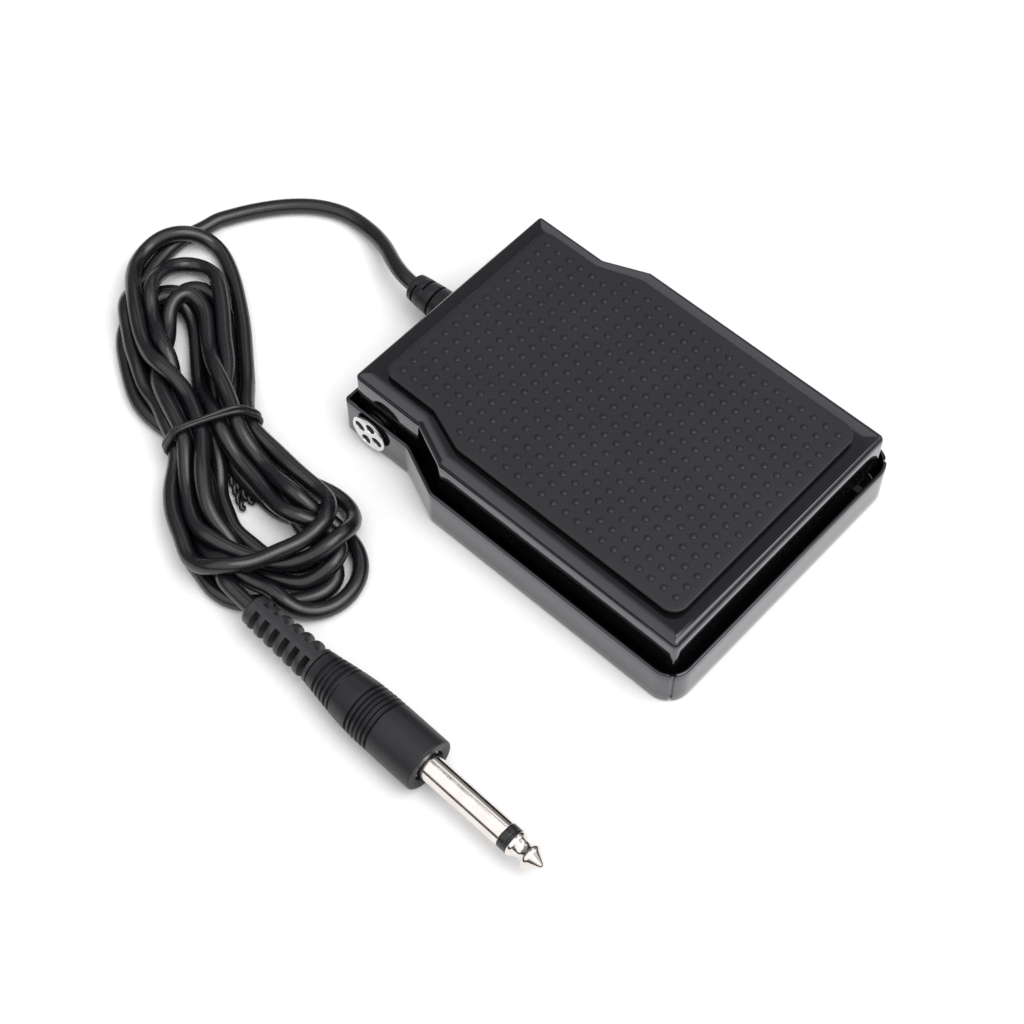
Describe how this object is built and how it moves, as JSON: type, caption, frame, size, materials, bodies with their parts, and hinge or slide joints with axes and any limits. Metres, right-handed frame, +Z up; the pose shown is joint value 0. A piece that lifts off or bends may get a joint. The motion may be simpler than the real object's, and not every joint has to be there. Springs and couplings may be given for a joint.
{
  "type": "sustain pedal",
  "caption": "Compact sustain foot switch: hinged steel cover with a dotted rubber pad over a base pan, with a thin lead tied in a hank and a 6.35 mm mono plug",
  "frame": {"origin": "middle of the base pan on the floor that the rubber feet stand on", "axes": "+X right, +Y to the hinge and cable end, -Y to the wide front edge that the foot presses, +Z up"},
  "size_m": [0.1362, 0.19, 0.0247],
  "materials": {
    "black_paint": "gloss black stoved paint on stamped sheet steel",
    "pad_rubber": "matte black moulded rubber with small raised domes",
    "foot_rubber": "matte black rubber",
    "nickel_plate": "bright nickel plate",
    "zinc_steel": "zinc plated steel",
    "nylon": "natural nylon",
    "switch_plastic": "matte black moulded plastic",
    "terminal_brass": "tinned brass",
    "cable_pvc": "soft satin black PVC",
    "tie_plastic": "black plastic-covered wire",
    "wire_red": "red PVC insulation",
    "plug_moulding": "matte black moulded PVC",
    "plug_insulation": "black insulating plastic"
  },
  "bodies": {
    "base": {"base_pan": "black_paint", "foot_1": "foot_rubber", "foot_2": "foot_rubber", "foot_3": "foot_rubber", "foot_4": "foot_rubber", "bumper_left": "foot_rubber", "bumper_right": "foot_rubber", "pivot_screw_left": "nickel_plate", "pivot_screw_right": "nickel_plate", "clamp_screw": "nickel_plate", "plug_sleeve": "nickel_plate", "plug_tip": "nickel_plate", "pivot_nut_left": "zinc_steel", "pivot_nut_right": "zinc_steel", "spring_cup": "zinc_steel", "switch_bracket": "zinc_steel", "bracket_rivet_1": "zinc_steel", "bracket_rivet_2": "zinc_steel", "switch_screw_1": "zinc_steel", "switch_screw_2": "zinc_steel", "switch_nut_1": "zinc_steel", "switch_nut_2": "zinc_steel", "cable_clamp": "zinc_steel", "return_spring": "zinc_steel", "micro_switch": "switch_plastic", "pivot_bush_left": "switch_plastic", "pivot_bush_right": "switch_plastic", "switch_terminal_1": "terminal_brass", "switch_terminal_2": "terminal_brass", "switch_terminal_3": "terminal_brass", "cable_gland": "cable_pvc", "inner_lead": "cable_pvc", "wire_common": "cable_pvc", "cord_lead": "cable_pvc", "cord_tail": "cable_pvc", "cord_hank": "cable_pvc", "cord_tie": "tie_plastic", "wire_signal": "wire_red", "plug_strain_relief": "plug_moulding", "plug_shell": "plug_moulding", "plug_insulator": "plug_insulation"},
    "cover": {"top_cover": "black_paint", "rubber_pad": "pad_rubber", "spring_boss": "zinc_steel", "actuator_tab": "zinc_steel"},
    "lever": {"switch_lever": "zinc_steel"},
    "plunger": {"switch_plunger": "nylon"}
  },
  "joints": [
    {"name": "cover_hinge", "type": "hinge", "parent": "base", "child": "cover", "pos_m": [0, 0.0452, 0.0069], "axis": [1, 0, 0], "range_deg": [0, 4], "stiffness_Nm_per_rad": 6, "springref_deg": -5.73, "deforming": ["return_spring"]},
    {"name": "lever_hinge", "type": "hinge", "parent": "base", "child": "lever", "pos_m": [-0.012, 0.0172, 0.0157], "axis": [1, 0, 0], "range_deg": [0, 9.93]},
    {"name": "plunger_slide", "type": "slide", "parent": "base", "child": "plunger", "axis": [0, 0, -1], "range_m": [0, 0.0006]}
  ],
  "couplings": [
    {"joint": "lever_hinge", "follows": "cover_hinge", "ratio": 2.48},
    {"joint": "plunger_slide", "follows": "cover_hinge", "m_per_rad": 0.00859}
  ]
}
